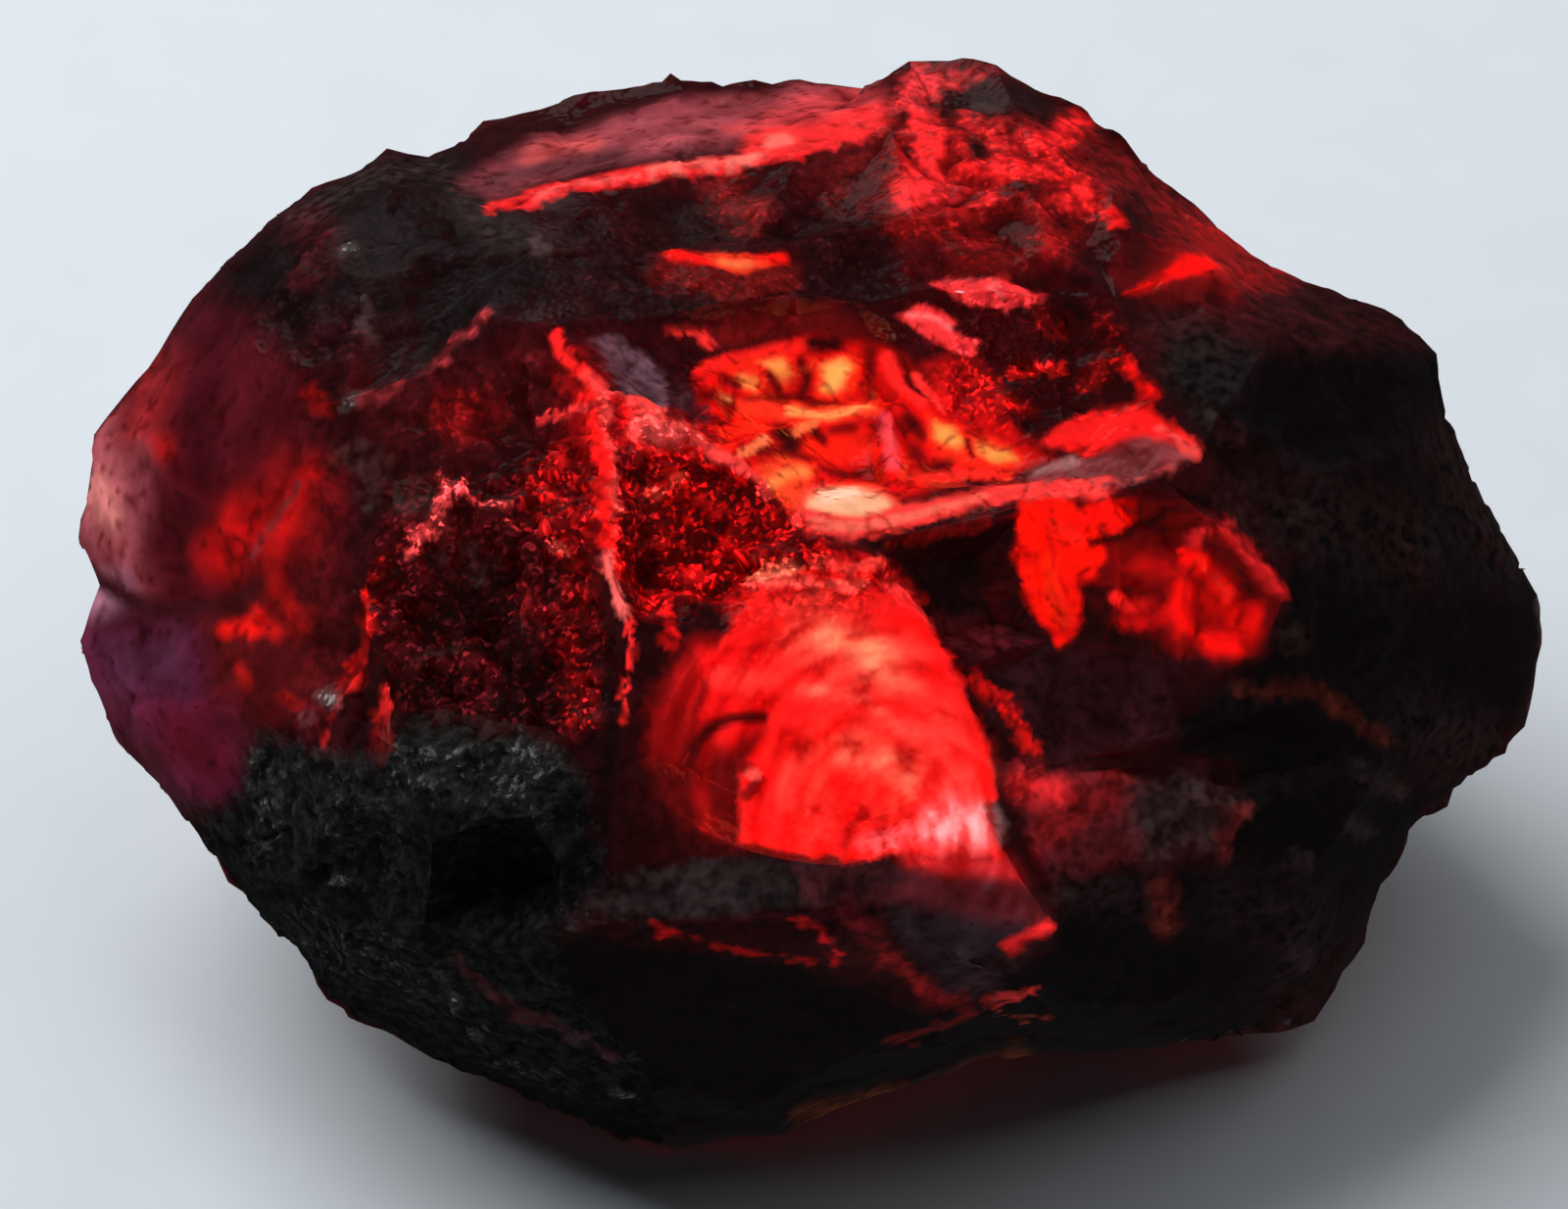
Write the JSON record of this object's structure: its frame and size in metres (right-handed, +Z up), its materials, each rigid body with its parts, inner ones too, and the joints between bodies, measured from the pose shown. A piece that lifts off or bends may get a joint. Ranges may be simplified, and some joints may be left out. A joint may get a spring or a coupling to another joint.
{
  "type": "rough painite crystal",
  "caption": "Broken rough crystal of dark red, see-through painite, resting on a flat facet, with a shell-shaped fracture, a ledge and dark crusted ends.",
  "frame": {"origin": "under the middle of the stone's bounding box, on the surface that its resting facet lies on", "axes": "+X along the stone's length, +Y away from the broken main face, +Z up"},
  "size_m": [0.015, 0.011, 0.0081],
  "materials": {
    "painite": "see-through dark red crystal with vitreous lustre, clear in thin places and nearly black in thick ones; broken faces are part smooth, part grainy, with dark crust at the lower left"
  },
  "bodies": {
    "root": {"painite_crystal": "painite"}
  },
  "joints": []
}
